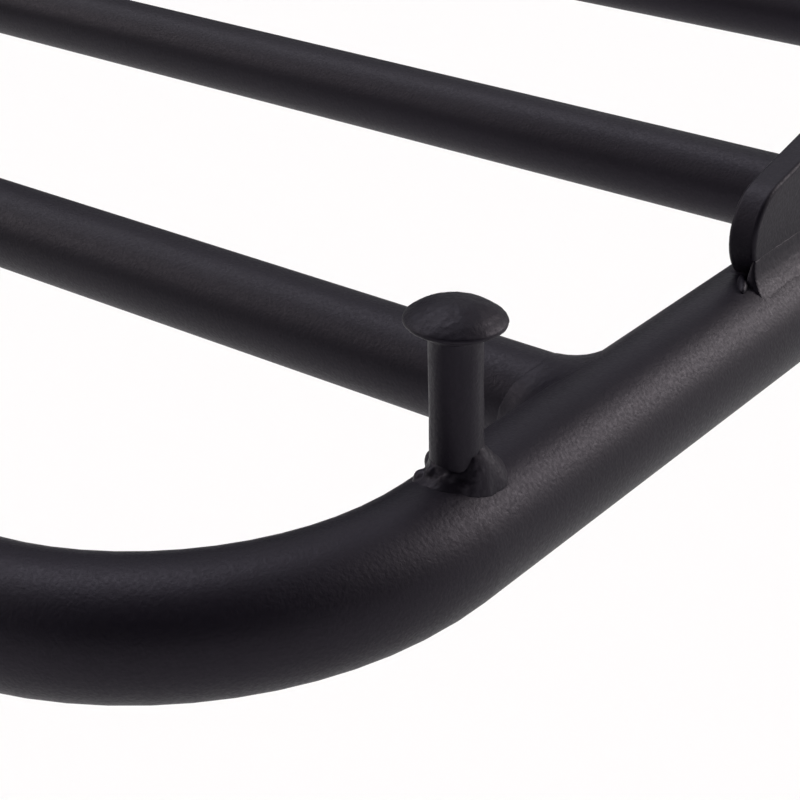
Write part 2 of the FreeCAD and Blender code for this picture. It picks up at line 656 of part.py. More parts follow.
def lock_housing():
    """The plunger's body, welded to the outside of the right cheek."""
    back_x = CHEEK_OUTER_X + HOUSING_LENGTH
    body = rod(HOUSING_R, lock_point(CHEEK_OUTER_X), lock_point(back_x))
    rim = [edge for edge in body.Edges if abs(edge.CenterOfMass.x - back_x) < SAME]
    body = body.makeChamfer(HOUSING_CHAMFER, rim)
    guide = rod(PIN_HOLE_R, lock_point(CHEEK_OUTER_X), lock_point(CHEEK_OUTER_X + HOUSING_FRONT))
    chamber = rod(CHAMBER_R, lock_point(CHEEK_OUTER_X + HOUSING_FRONT), lock_point(back_x - HOUSING_END))
    stem_hole = rod(PIN_STEM_R + RUNNING_GAP, lock_point(back_x - HOUSING_END), lock_point(back_x))
    return body.cut(guide).cut(chamber).cut(stem_hole)


def lock_bead():
    """The weld round the plunger's housing where it stands on the right cheek."""
    skin = rod(HOUSING_R + BEAD_LEG, lock_point(CHEEK_OUTER_X), lock_point(CHEEK_OUTER_X + BEAD_LEG))
    return collar_bead(HOUSING_R, lock_point(CHEEK_OUTER_X), X_AXIS, hinge_cheek(1), skin)


def collar_x():
    """Front face of the plunger's collar, with the plunger drawn back and parked."""
    return CHEEK_OUTER_X + HOUSING_FRONT + SIDE_GAP + PIN_TRAVEL


def lock_pin():
    """The plunger, drawn back: nose, collar for the spring and the stem that the knob grips."""
    tip_x = HINGE_HALF_LENGTH + PIN_TIP_GAP
    knob_x = CHEEK_OUTER_X + HOUSING_LENGTH + SIDE_GAP + PIN_TRAVEL
    nose = rod(PIN_R, lock_point(tip_x), lock_point(collar_x()))
    tip = [edge for edge in nose.Edges if abs(edge.CenterOfMass.x - tip_x) < SAME]
    nose = nose.makeChamfer(PIN_CHAMFER, tip)
    collar = rod(PIN_COLLAR_R, lock_point(collar_x()), lock_point(collar_x() + PIN_COLLAR))
    stem_end = lock_point(knob_x + KNOB_LENGTH - KNOB_END_WALL)
    stem = rod(PIN_STEM_R, lock_point(collar_x() + PIN_COLLAR), stem_end)
    return nose.fuse([collar, stem]).removeSplitter()


def lock_spring():
    """The compressed spring between the plunger's collar and the back of the housing."""
    start_x = collar_x() + PIN_COLLAR
    end_x = CHEEK_OUTER_X + HOUSING_LENGTH - HOUSING_END
    length = end_x - start_x - 4 * SPRING_WIRE_R
    section = []
    for corner in range(SPRING_SECTION_SIDES):
        angle = 2 * math.pi * corner / SPRING_SECTION_SIDES
        section.append(V(SPRING_COIL_R + SPRING_WIRE_R * math.cos(angle), 0, SPRING_WIRE_R * math.sin(angle)))
    rings = []
    for turn in range(SPRING_TURNS):
        x = start_x + 2 * SPRING_WIRE_R + length * turn / (SPRING_TURNS - 1)
        rings.append(turned(polyline(section), lock_point(x), X_AXIS))
    return rings


def lock_knob():
    """A fluted plastic knob on the plunger's stem."""
    knob_x = CHEEK_OUTER_X + HOUSING_LENGTH + SIDE_GAP + PIN_TRAVEL
    end_x = knob_x + KNOB_LENGTH
    knob = rod(KNOB_R, lock_point(knob_x), lock_point(end_x))
    rim = [edge for edge in knob.Edges if abs(edge.CenterOfMass.x - end_x) < SAME]
    knob = knob.makeFillet(KNOB_EDGE_ROUND, rim)
    for flute in range(KNOB_FLUTES):
        angle = 2 * math.pi * flute / KNOB_FLUTES
        offset = V(0, math.cos(angle), math.sin(angle)) * (KNOB_R + KNOB_FLUTE_OFFSET)
        knob = knob.cut(rod(KNOB_FLUTE_R, lock_point(knob_x) + offset, lock_point(end_x) + offset))
    return knob.cut(rod(PIN_STEM_R, lock_point(knob_x), lock_point(end_x - KNOB_END_WALL)))


def pair(make, *details):
    """A left and a right piece that share one node."""
    return [make(side, *details) for side in SIDES.values()]


def export(name, shape):
    """Write one node, from one solid or a list of separate ones."""
    solids = shape if isinstance(shape, list) else [shape]
    group = Part.Compound([solid for piece in solids for solid in piece.Solids])
    group.exportStep("parts/" + name + ".step")


def main():
    os.makedirs("parts", exist_ok=True)
    export("frame_hoop", frame_hoop())
    export("frame_cross_tube_upper", frame_bar(UPPER_BAR_Z))
    export("frame_cross_tube_lower", frame_bar(LOWER_BAR_Z))
    for level_name, level in {"upper": 1, "lower": -1}.items():
        for side_name, side in SIDES.items():
            export("foot_" + level_name + "_" + side_name, foot(side, level))
    export("foot_pads", pair(foot_pad, 1) + pair(foot_pad, -1))
    export("frame_end_caps", pair(foot_cap))
    export("hinge_tube", hinge_tube())
    export("hinge_bosses", pair(hinge_boss))
    export("latch_plate", latch_plate())
    export("thrust_washers", pair(thrust_washer))
    low, high = buffer_places()
    export("rest_buffers_lower", pair(rest_buffer, low))
    export("rest_buffers_upper", pair(rest_buffer, high))
    export("buffer_screws", pair(buffer_screw, low) + pair(buffer_screw, high))
    export("frame_weld_beads", frame_beads())
    export("deck_hoop", deck_hoop())
    for number, crossbar in enumerate(CROSSBARS, start=1):
        export("deck_crossbar_" + str(number), deck_bar(*crossbar))
    export("deck_end_bar", deck_bar(*END_BAR))
    export("deck_end_caps", pair(end_cap))
    export("crossbar_weld_beads", deck_bar_beads())
    export("cheek_weld_beads", cheek_beads())
    export("stud_weld_beads", stud_beads())
    for side_name, side in SIDES.items():
        export("pivot_bolt_" + side_name, pivot_bolt(side))
        export("hinge_cheek_" + side_name, hinge_cheek(side))
        export("cheek_bush_" + side_name, cheek_bush(side))
        export("strap_stud_tail_" + side_name, strap_stud(side, tail_stud_base(), deck_side_solid()))
        export("strap_stud_inner_" + side_name, strap_stud(side, inner_stud_base(), inner_bar_solid()))
    export("lock_housing", lock_housing())
    export("lock_weld_bead", lock_bead())
    export("lock_pin", lock_pin())
    export("lock_spring", lock_spring())
    export("lock_knob", lock_knob())


main()
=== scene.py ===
import math
import random

import bmesh
import bpy
from mathutils import Matrix, Vector, noise


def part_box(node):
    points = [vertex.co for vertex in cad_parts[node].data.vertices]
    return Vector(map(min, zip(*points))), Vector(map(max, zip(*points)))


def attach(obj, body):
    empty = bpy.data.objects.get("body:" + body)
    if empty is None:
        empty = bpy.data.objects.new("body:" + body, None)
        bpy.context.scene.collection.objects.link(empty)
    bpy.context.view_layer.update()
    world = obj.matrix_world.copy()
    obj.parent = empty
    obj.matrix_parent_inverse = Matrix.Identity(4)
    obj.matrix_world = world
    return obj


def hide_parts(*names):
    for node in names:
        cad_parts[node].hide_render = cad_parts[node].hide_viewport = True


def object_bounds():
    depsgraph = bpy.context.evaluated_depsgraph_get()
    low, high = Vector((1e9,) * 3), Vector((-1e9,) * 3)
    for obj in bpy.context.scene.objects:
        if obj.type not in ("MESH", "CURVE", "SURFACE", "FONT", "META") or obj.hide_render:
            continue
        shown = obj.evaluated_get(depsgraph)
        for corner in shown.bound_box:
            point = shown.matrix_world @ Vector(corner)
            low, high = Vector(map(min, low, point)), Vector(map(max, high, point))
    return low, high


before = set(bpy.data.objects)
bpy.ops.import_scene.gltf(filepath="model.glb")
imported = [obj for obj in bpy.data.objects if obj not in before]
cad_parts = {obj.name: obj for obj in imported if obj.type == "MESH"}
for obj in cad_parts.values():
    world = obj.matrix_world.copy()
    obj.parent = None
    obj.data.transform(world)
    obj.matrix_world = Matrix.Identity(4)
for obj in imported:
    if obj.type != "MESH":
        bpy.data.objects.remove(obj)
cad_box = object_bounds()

MM = 0.001

# ---- Places read from the CAD frame ----

def middle(node):
    low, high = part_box(node)
    return (low + high) / 2


def half_height(node):
    low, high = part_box(node)
    return (high.z - low.z) / 2


TUBE_R = half_height("deck_hoop")
DECK_Z = middle("deck_hoop").z
SIDE_X = middle("hinge_cheek_right").x
CHEEK_HALF = (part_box("hinge_cheek_right")[1].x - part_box("hinge_cheek_right")[0].x) / 2
BAR_NODES = ["deck_crossbar_1", "deck_crossbar_2", "deck_crossbar_3", "deck_end_bar"]
INNER_BAR_R = half_height("deck_crossbar_3")
TAIL_STUD = Vector((SIDE_X, middle("strap_stud_tail_right").y, DECK_Z + TUBE_R))
INNER_STUD_X = middle("strap_stud_inner_right").x
INNER_STUD = Vector((INNER_STUD_X, middle("deck_crossbar_3").y, DECK_Z + INNER_BAR_R))


# ---- Camera ----
# It looks at the tail end of the deck's right side, and its place is given from the foot of the stud there.

CAMERA_OFFSET = Vector((119.9, -161.0, 115.4)) * MM
CAMERA_AZIMUTH = math.radians(38.40)
CAMERA_ELEVATION = math.radians(27.95)
CAMERA_ROLL = math.radians(-1.23)
CAMERA_LENS = 95.06
SENSOR_WIDTH = 36


def add_camera():
    sin_a, cos_a = math.sin(CAMERA_AZIMUTH), math.cos(CAMERA_AZIMUTH)
    sin_e, cos_e = math.sin(CAMERA_ELEVATION), math.cos(CAMERA_ELEVATION)
    forward = Vector((-sin_a * cos_e, cos_a * cos_e, -sin_e))
    level_right = Vector((cos_a, sin_a, 0))
    level_down = forward.cross(level_right)
    cos_r, sin_r = math.cos(CAMERA_ROLL), math.sin(CAMERA_ROLL)
    right = level_right * cos_r - level_down * sin_r
    up = -(level_right * sin_r + level_down * cos_r)
    data = bpy.data.cameras.new("camera")
    data.lens = CAMERA_LENS
    data.sensor_width = SENSOR_WIDTH
    data.clip_start = 0.01
    data.clip_end = 1000
    camera = bpy.data.objects.new("camera", data)
    camera.matrix_world = Matrix((right, up, -forward)).transposed().to_4x4()
    camera.matrix_world.translation = TAIL_STUD + CAMERA_OFFSET
    bpy.context.scene.collection.objects.link(camera)
    bpy.context.scene.camera = camera


# ---- Studio ----

FLOOR_DROP = 0.35
FLOOR_HALF = 60.0
FLOOR_COLOUR = (0.88, 0.88, 0.88, 1)
FLOOR_LIFT = 0.07
HORIZON_GLOW = 1.45
HORIZON_TOP = 0.16


def sun(name, towards, width, radiance, colour):
    """A soft light at infinity, as wide as the given degrees and coming from the direction towards."""
    data = bpy.data.lights.new(name, "SUN")
    data.angle = math.radians(width)
    data.energy = radiance * math.pi * math.sin(data.angle / 2) ** 2
    data.color = colour
    light = bpy.data.objects.new(name, data)
    light.rotation_mode = "QUATERNION"
    light.rotation_quaternion = Vector(towards).to_track_quat("Z", "Y")
    bpy.context.scene.collection.objects.link(light)


WARM = (1.0, 0.95, 0.92)
COOL = (0.96, 0.97, 1.0)
# Each light: its name, the direction that it comes from, its brightness and its tint. The direction is given
# as degrees round from +Y towards +X and degrees up.
LIGHTS = [
    ("light_back_right", 31, 28, 13.1, WARM),
    ("light_back_left", 330, 28, 1.1, COOL),
    ("light_left", 270, 48, 3.3, COOL),
    ("light_high", 300, 68, 6.1, COOL),
    ("light_front_left", 240, 28, 4.9, WARM),
]
LIGHT_WIDTH = 29


def add_lights():
    for name, round_degrees, up_degrees, radiance, tint in LIGHTS:
        turn, lift = math.radians(round_degrees), math.radians(up_degrees)
        level = Vector((math.sin(turn), math.cos(turn), 0))
        towards = level * math.cos(lift) + Vector((0, 0, math.sin(lift)))
        sun(name, towards, LIGHT_WIDTH, radiance, tint)


def add_world():
    """A world that is pale at and below the horizon and dark overhead."""
    world = bpy.data.worlds.new("studio")
    bpy.context.scene.world = world
    world.use_nodes = True
    tree = world.node_tree
    tree.nodes.clear()
    place = tree.nodes.new("ShaderNodeTexCoord")
    split = tree.nodes.new("ShaderNodeSeparateXYZ")
    ramp = tree.nodes.new("ShaderNodeValToRGB")
    ramp.color_ramp.interpolation = "EASE"
    pale, dark = ramp.color_ramp.elements
    pale.position = 0.0
    pale.color = (1, 1, 1, 1)
    dark.position = HORIZON_TOP
    dark.color = (0, 0, 0, 1)
    background = tree.nodes.new("ShaderNodeBackground")
    background.inputs["Strength"].default_value = HORIZON_GLOW
    output = tree.nodes.new("ShaderNodeOutputWorld")
    tree.links.new(place.outputs["Generated"], split.inputs[0])
    tree.links.new(split.outputs["Z"], ramp.inputs[0])
    tree.links.new(ramp.outputs[0], background.inputs["Color"])
    tree.links.new(background.outputs[0], output.inputs["Surface"])


def math_node(tree, operation, first, second):
    """A Math node on the output first, and on second, an output or a number."""
    node = tree.nodes.new("ShaderNodeMath")
    node.operation = operation
    tree.links.new(first, node.inputs[0])
    if isinstance(second, float):
        node.inputs[1].default_value = second
    else:
        tree.links.new(second, node.inputs[1])
    return node.outputs[0]


def floor_paper():
    """White paper that keeps shadows, lifted to full white as the camera, gloss and glass see it."""
    material = bpy.data.materials.new("floor_paper")
    material.use_nodes = True
    tree = material.node_tree
    tree.nodes.clear()
    paper = tree.nodes.new("ShaderNodeBsdfDiffuse")
    paper.inputs["Color"].default_value = FLOOR_COLOUR
    path = tree.nodes.new("ShaderNodeLightPath").outputs
    seen = math_node(tree, "MAXIMUM", path["Is Camera Ray"], path["Is Glossy Ray"])
    seen = math_node(tree, "MAXIMUM", seen, path["Is Transmission Ray"])
    glow = tree.nodes.new("ShaderNodeEmission")
    tree.links.new(math_node(tree, "MULTIPLY", seen, FLOOR_LIFT), glow.inputs["Strength"])
    add = tree.nodes.new("ShaderNodeAddShader")
    tree.links.new(paper.outputs[0], add.inputs[0])
    tree.links.new(glow.outputs[0], add.inputs[1])
    output = tree.nodes.new("ShaderNodeOutputMaterial")
    tree.links.new(add.outputs[0], output.inputs["Surface"])
    return material


def add_floor():
    z = cad_box[0][2] - FLOOR_DROP
    sides = [(-1, -1), (1, -1), (1, 1), (-1, 1)]
    mesh = bpy.data.meshes.new("floor")
    mesh.from_pydata([(x * FLOOR_HALF, y * FLOOR_HALF, z) for x, y in sides], [], [(0, 1, 2, 3)])
    floor = bpy.data.objects.new("floor", mesh)
    bpy.context.scene.collection.objects.link(floor)
    mesh.materials.append(floor_paper())


# ---- Materials ----

def new_material(name):
    """A material with its node tree, its shader and the object's own coordinates."""
    material = bpy.data.materials.new(name)
    material.use_nodes = True
    tree = material.node_tree
    shader = tree.nodes["Principled BSDF"]
    place = tree.nodes.new("ShaderNodeTexCoord")
    return material, tree, shader, place.outputs["Object"]


def noise_node(tree, where, scale, detail=2.0, roughness=0.5):
    node = tree.nodes.new("ShaderNodeTexNoise")
    node.inputs["Scale"].default_value = scale
    node.inputs["Detail"].default_value = detail
    node.inputs["Roughness"].default_value = roughness
    tree.links.new(where, node.inputs["Vector"])
    return node.outputs["Fac"]


def ramp_node(tree, value, *stops):
    """Colours spread over a value, from stops of position and colour."""
    node = tree.nodes.new("ShaderNodeValToRGB")
    elements = node.color_ramp.elements
    elements[0].position, elements[0].color = stops[0][0], (*stops[0][1], 1)
    elements[1].position, elements[1].color = stops[-1][0], (*stops[-1][1], 1)
    for position, colour in stops[1:-1]:
        elements.new(position).color = (*colour, 1)
    tree.links.new(value, node.inputs[0])
    return node.outputs[0]


NOISE_MIDDLE = (0.3, 0.7)


def spread_node(tree, value, low, high):
    """The middle of a noise's range, spread from low to high."""
    node = tree.nodes.new("ShaderNodeMapRange")
    node.inputs["To Min"].default_value = low
    node.inputs["To Max"].default_value = high
    node.inputs["From Min"].default_value = NOISE_MIDDLE[0]
    node.inputs["From Max"].default_value = NOISE_MIDDLE[1]
    tree.links.new(value, node.inputs["Value"])
    return node.outputs["Result"]


def bump_chain(tree, shader, layers):
    """Bump layers, each a height source and its depth in metres."""
    below = None
    for height, depth in layers:
        node = tree.nodes.new("ShaderNodeBump")
        node.inputs["Strength"].default_value = 1.0
        node.inputs["Distance"].default_value = depth
        tree.links.new(height, node.inputs["Height"])
        if below is not None:
            tree.links.new(below, node.inputs["Normal"])
        below = node.outputs["Normal"]
    tree.links.new(below, shader.inputs["Normal"])


def black_coat():
    material, tree, shader, where = new_material("black_coat")
    peel = noise_node(tree, where, scale=900)
    grain = noise_node(tree, where, scale=2400)
    patches = noise_node(tree, where, scale=60, detail=3.0)
    colour = ramp_node(tree, patches, (0.3, (0.0032, 0.0023, 0.0052)), (0.7, (0.0050, 0.0038, 0.0075)))
    tree.links.new(colour, shader.inputs["Base Color"])
    tree.links.new(spread_node(tree, grain, low=0.46, high=0.58), shader.inputs["Roughness"])
    shader.inputs["Specular IOR Level"].default_value = 0.24
    shader.inputs["Specular Tint"].default_value = (0.92, 0.84, 1.0, 1)
    bump_chain(tree, shader, [(peel, 0.000026), (grain, 0.000040)])
    return material


def rubber():
    material, tree, shader, where = new_material("rubber")
    grain = noise_node(tree, where, scale=2600, detail=3.0)
    patches = noise_node(tree, where, scale=90, detail=3.0)
    colour = ramp_node(tree, patches, (0.3, (0.008, 0.008, 0.0085)), (0.7, (0.014, 0.014, 0.0145)))
    tree.links.new(colour, shader.inputs["Base Color"])
    tree.links.new(spread_node(tree, patches, low=0.66, high=0.82), shader.inputs["Roughness"])
    shader.inputs["Specular IOR Level"].default_value = 0.3
    bump_chain(tree, shader, [(grain, 0.00003)])
    return material


def black_plastic():
    material, tree, shader, where = new_material("black_plastic")
    grain = noise_node(tree, where, scale=1900, detail=4.0, roughness=0.6)
    colour = ramp_node(tree, grain, (0.3, (0.009, 0.009, 0.010)), (0.7, (0.013, 0.013, 0.014)))
    tree.links.new(colour, shader.inputs["Base Color"])
    tree.links.new(spread_node(tree, grain, low=0.44, high=0.56), shader.inputs["Roughness"])
    bump_chain(tree, shader, [(grain, 0.00002)])
    return material


def zinc_steel():
    material, tree, shader, where = new_material("zinc_steel")
    cloud = noise_node(tree, where, scale=350, detail=4.0, roughness=0.6)
    fine = noise_node(tree, where, scale=5000)
    blue, grey, straw = (0.42, 0.43, 0.46), (0.55, 0.56, 0.58), (0.63, 0.62, 0.58)
    colour = ramp_node(tree, cloud, (0.25, blue), (0.55, grey), (0.8, straw))
    tree.links.new(colour, shader.inputs["Base Color"])
    tree.links.new(spread_node(tree, cloud, low=0.24, high=0.38), shader.inputs["Roughness"])
    shader.inputs["Metallic"].default_value = 1.0
    bump_chain(tree, shader, [(fine, 0.000004)])
    return material


def bronze():
    material, tree, shader, where = new_material("bronze")
    pores = noise_node(tree, where, scale=3800)
    cloud = noise_node(tree, where, scale=240, detail=3.0)
    colour = ramp_node(tree, cloud, (0.3, (0.33, 0.20, 0.09)), (0.7, (0.46, 0.30, 0.14)))
    tree.links.new(colour, shader.inputs["Base Color"])
    tree.links.new(spread_node(tree, pores, low=0.34, high=0.5), shader.inputs["Roughness"])
    shader.inputs["Metallic"].default_value = 1.0
    bump_chain(tree, shader, [(pores, 0.000012)])
    return material


def nylon():
    material, tree, shader, where = new_material("nylon")
    cloud = noise_node(tree, where, scale=300, detail=3.0)
    colour = ramp_node(tree, cloud, (0.3, (0.68, 0.67, 0.61)), (0.7, (0.75, 0.74, 0.69)))
    tree.links.new(colour, shader.inputs["Base Color"])
    tree.links.new(spread_node(tree, cloud, low=0.42, high=0.52), shader.inputs["Roughness"])
    shader.inputs["Subsurface Weight"].default_value = 0.2
    shader.inputs["Subsurface Radius"].default_value = (0.002, 0.002, 0.0018)
    bump_chain(tree, shader, [(cloud, 0.00001)])
    return material


MAKERS = (black_coat, rubber, black_plastic, zinc_steel, bronze, nylon)
MATERIALS = {make.__name__: make() for make in MAKERS}


def finish_cad_nodes():
    """Gives every CAD node the procedural material of its slot."""
    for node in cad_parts.values():
        for index, material in enumerate(node.data.materials):
            slot = material.name.split(".")[0]
            node.data.materials[index] = MATERIALS[slot]


# ---- Weld seams ----
# A seam is a ring or a run of cross-sections. Each one follows the weld's face from one surface to the other
# and closes inside both, and the whole is skinned into one smooth bead of weld metal under the coat.

BURIED = 0.45 * MM
FACE_STEPS = 5
ROUND_STEPS = 64
# How far the face bulges: 0 is hollow, tangent to both surfaces, 1 is flat and more is full.
BELLY = 0.35
# Voxels that a bead is skinned with: fine ones for small lumps, coarse ones for long plain runs.
FINE_SKIN = 0.15 * MM
SKIN = 0.22 * MM
COARSE_SKIN = 0.25 * MM


def section(corner, toe_a, toe_b, normal_a, normal_b, belly=BELLY):
    """Points round one cross-section of a fillet weld between two surfaces that meet at corner."""
    control = corner.lerp((toe_a + toe_b) / 2, belly)
    points = [toe_a - normal_a * BURIED]
    for step in range(FACE_STEPS + 1):
        share = step / FACE_STEPS
        points.append(toe_a * (1 - share) ** 2 + control * (2 * share * (1 - share)) + toe_b * share ** 2)
    points.append(toe_b - normal_b * BURIED)
    points.append(corner - (normal_a + normal_b) * BURIED)
    return points


def add_seam(shape, sections, closed):
    """Bridges cross-sections into one closed skin, either a ring or a run with an end face at each end."""
    rings = [[shape.verts.new(point) for point in points] for points in sections]
    pairs = list(zip(rings, rings[1:]))
    if closed:
        pairs.append((rings[-1], rings[0]))
    else:
        shape.faces.new(rings[0][::-1])
        shape.faces.new(rings[-1])
    for ring, following in pairs:
        for index in range(len(ring)):
            after = (index + 1) % len(ring)
            shape.faces.new((ring[index], ring[after], following[after], following[index]))


def add_lump(shape, centre, half_sizes, turn):
    """A rounded lump turned about Z, skinned together with the seam that it lies on."""
    form = Matrix.Translation(centre) @ Matrix.Rotation(turn, 4, "Z") @ Matrix.Diagonal((*half_sizes, 1))
    bmesh.ops.create_icosphere(shape, subdivisions=3, radius=1, matrix=form)


def uneven(draw, depth):
    """A smooth wandering factor about 1, for a share of the way round from 0 to 1."""
    waves = []
    for count in (1, 2, 3, 5, 8):
        phase = draw.uniform(0, math.tau)
        waves.append((count, phase, depth * draw.uniform(0.4, 1.0) / count ** 0.5))

    def factor(share):
        total = sum(size * math.sin(math.tau * count * share + phase) for count, phase, size in waves)
        return 1 + total / 2

    return factor


def applied(piece):
    """Replaces a piece's mesh by what its modifiers make of it."""
    bpy.context.view_layer.update()
    graph = bpy.context.evaluated_depsgraph_get()
    mesh = bpy.data.meshes.new_from_object(piece.evaluated_get(graph))
    piece.modifiers.clear()
    old = piece.data
    piece.data = mesh
    bpy.data.meshes.remove(old)


# Waves of the roughened metal, per mm, and how high the fine ones stand against the coarse ones.
COARSE_WAVES = 1.1
FINE_WAVES = 2.7
FINE_SHARE = 0.6


def roughened(mesh, depth):
    """Moves each point along its normal by smooth noise, with coarse waves and finer ones on them."""
    mesh.update()
    normals = [vertex.normal.copy() for vertex in mesh.vertices]
    for vertex, normal in zip(mesh.vertices, normals):
        where = vertex.co / MM
        lift = noise.noise(where * COARSE_WAVES) + FINE_SHARE * noise.noise(where * FINE_WAVES)
        vertex.co += normal * (lift * depth)


def new_piece(name, shape):
    mesh = bpy.data.meshes.new(name)
    shape.to_mesh(mesh)
    shape.free()
    piece = bpy.data.objects.new(name, mesh)
    bpy.context.scene.collection.objects.link(piece)
    return piece


def mounted(piece, body, nodes, slot):
    """Gives a piece its finish, its body and the CAD nodes that it stands for."""
    for polygon in piece.data.polygons:
        polygon.use_smooth = True
    piece.data.materials.clear()
    piece.data.materials.append(MATERIALS[slot])
    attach(piece, body)
    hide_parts(*nodes)


def weld_piece(name, shape, body, node, side=1, voxel=SKIN, smoothing=5, depth=0.03 * MM):
    """Skins a shape of seams and lumps into one bead of weld metal, mirrored to the left where side is -1."""
    if side < 0:
        for vertex in shape.verts:
            vertex.co.x = -vertex.co.x
    piece = new_piece(name, shape)
    remesh = piece.modifiers.new("skin", "REMESH")
    remesh.mode = "VOXEL"
    remesh.voxel_size = voxel
    smooth = piece.modifiers.new("flow", "SMOOTH")
    smooth.factor = 0.5
    smooth.iterations = smoothing
    applied(piece)
    roughened(piece.data, depth)
    mounted(piece, body, [node], "black_coat")


X_WAY, Y_WAY, Z_WAY = Vector((1, 0, 0)), Vector((0, 1, 0)), Vector((0, 0, 1))


def on_tube(crest, tube_r, across, shift):
    """The point of a level tube's surface under crest + shift, and the surface's normal there.

    crest is on the top of the tube, which runs along Y, or along X if across is set.
    """
    off = shift.y if across else shift.x
    lift = math.sqrt(tube_r ** 2 - off ** 2)
    normal = Vector((0, off, lift)) if across else Vector((off, 0, lift))
    return crest + shift + Z_WAY * (lift - tube_r), normal.normalized()


# ---- Welds of the studs ----

def wave(angle, table):
    """A smooth closed curve through pairs of degrees and value."""
    turn = (angle - table[0][0]) % 360 + table[0][0]
    for (start, low), (end, high) in zip(table, table[1:] + [(table[0][0] + 360, table[0][1])]):
        if turn <= end:
            share = (turn - start) / (end - start)
            return low + (high - low) * share * share * (3 - 2 * share)


STEM_R = 3 * MM
# Round the foot of a stud, by degrees from +X: the weld's reach over the tube in mm, its height up the stem
# in mm, and the bulge of its face.
STUD_WELD_REACH = [
    (4, 1.8), (39, 2.8), (65, 2.9), (95, 2.0), (130, 2.1), (219, 2.1), (270, 1.7), (309, 1.3), (340, 1.5),
]
STUD_WELD_RISE = [
    (4, 3.9), (39, 3.8), (65, 3.1), (95, 2.3), (130, 2.2), (219, 2.1), (270, 2.0), (309, 1.8), (323, 2.1),
    (343, 3.8),
]
STUD_WELD_BELLY = [
    (4, 1.35), (39, 1.25), (65, 1.1), (95, 0.5), (219, 0.3), (270, 0.5), (309, 0.8), (340, 1.35),
]
# Lumps of metal on that weld, in mm: how far they lie sideways and forwards from the stem's axis and over the
# tube, then their half sizes in the same directions. Sideways is LUMPS_TURN degrees round from +X.
STUD_WELD_LUMPS = [
    ((-3.5, 0.6, 0.1), (1.3, 1.0, 0.9)),
    ((-2.6, 1.7, 0.9), (0.9, 0.7, 0.8)),
    ((-0.9, 2.9, 0.8), (0.8, 0.7, 0.9)),
    ((0.5, 3.3, 0.3), (0.9, 0.8, 0.8)),
    ((-2.0, -2.6, 0.5), (1.5, 1.4, 1.6)),
    ((1.0, -3.1, 0.8), (1.5, 1.4, 1.6)),
]
LUMPS_TURN = 38.8
# The inner studs' welds, on a thinner bar, are smaller by this factor.
INNER_SIZE = 0.9
# Each side: its name, its sign along X, and how far the welds of its tail and inner studs are turned.
STUD_WELD_SIDES = (("right", 1, 0, 150), ("left", -1, 250, 65))


def stud_weld(name, base, tube_r, across, turned, side, draw):
    """The weld round the foot of a stud, turned by some degrees from the tables' own place.

    The stud stands on a tube that runs along Y, or along X if across is set.
    """
    shape = bmesh.new()
    reach_factor, rise_factor = uneven(draw, depth=0.10), uneven(draw, depth=0.12)
    size = (INNER_SIZE if across else 1.0) * MM
    sections = []
    steps = 60
    for step in range(steps):
        angle = 360 * step / steps
        place = angle - turned
        out = Vector((math.cos(math.radians(angle)), math.sin(math.radians(angle)), 0))
        reach = wave(place, STUD_WELD_REACH) * size * reach_factor(step / steps)
        rise = wave(place, STUD_WELD_RISE) * size * rise_factor(step / steps)
        corner, _ = on_tube(base, tube_r, across, out * STEM_R)
        toe, toe_normal = on_tube(base, tube_r, across, out * (STEM_R + reach))
        belly = wave(place, STUD_WELD_BELLY)
        sections.append(section(corner, toe, corner + Z_WAY * rise, toe_normal, out, belly))
    add_seam(shape, sections, True)
    turn = math.radians(LUMPS_TURN + turned)
    sideways = Vector((math.cos(turn), math.sin(turn), 0))
    forwards = Vector((math.sin(turn), -math.cos(turn), 0))
    for (side_shift, front_shift, height), half_sizes in STUD_WELD_LUMPS:
        shift = (sideways * side_shift + forwards * front_shift) * size
        centre = on_tube(base, tube_r, across, shift)[0] + Z_WAY * (height * size)
        add_lump(shape, centre, Vector(half_sizes) * size, turn)
    weld_piece(name, shape, "deck", "stud_weld_beads", side, FINE_SKIN, smoothing=10, depth=0.045 * MM)


def add_stud_welds():
    for side_name, side, tail_turn, inner_turn in STUD_WELD_SIDES:
        draw = random.Random(11 + side)
        stud_weld(f"stud_weld_tail_{side_name}", TAIL_STUD, TUBE_R, False, tail_turn, side, draw)
        stud_weld(f"stud_weld_inner_{side_name}", INNER_STUD, INNER_BAR_R, True, inner_turn, side, draw)


# ---- Welds of the deck's bars and cheeks ----

BAR_WELD_LEGS = (4.2 * MM, 2.7 * MM)
# The run along a cheek's outer foot: its size and bulge, how far it stays in from the cheek's two ends, and
# its shear towards the tail for each length down from a level over the tube's crest.
CHEEK_LEG = 3.4 * MM
CHEEK_BELLY = 0.2
CHEEK_INSETS = (0.4 * MM, 14 * MM)
CHEEK_LEAN = 0.42
LEAN_LEVEL = 3 * MM
# The weld round a cheek's nose, whose foot stands back from the cheek's end at the tail, and the tongue of
# metal before it, by its half sizes and its place from that end.
NOSE_BACK = 2.3 * MM
NOSE_LEG = 1.3 * MM
NOSE_RISE = 0.8
TONGUE = Vector((0.75, 2.6, 0.9)) * MM
TONGUE_PLACE = Vector((1.0, -0.8, -0.2)) * MM
TONGUE_TURN = math.radians(30)
# The stitches along its inner foot.
STITCHES = 3
STITCH_LEG = 2.3 * MM
STITCH_LENGTH = 26 * MM
STITCH_PITCH = 76 * MM
HOUSING_LEG = 2.3 * MM
# Any run along a plate: its height over its reach, the length of its steps, and its size where it tapers out.
PLATE_RISE = 0.85
RUN_STEP = 0.5 * MM
THINNEST = 0.08 * MM


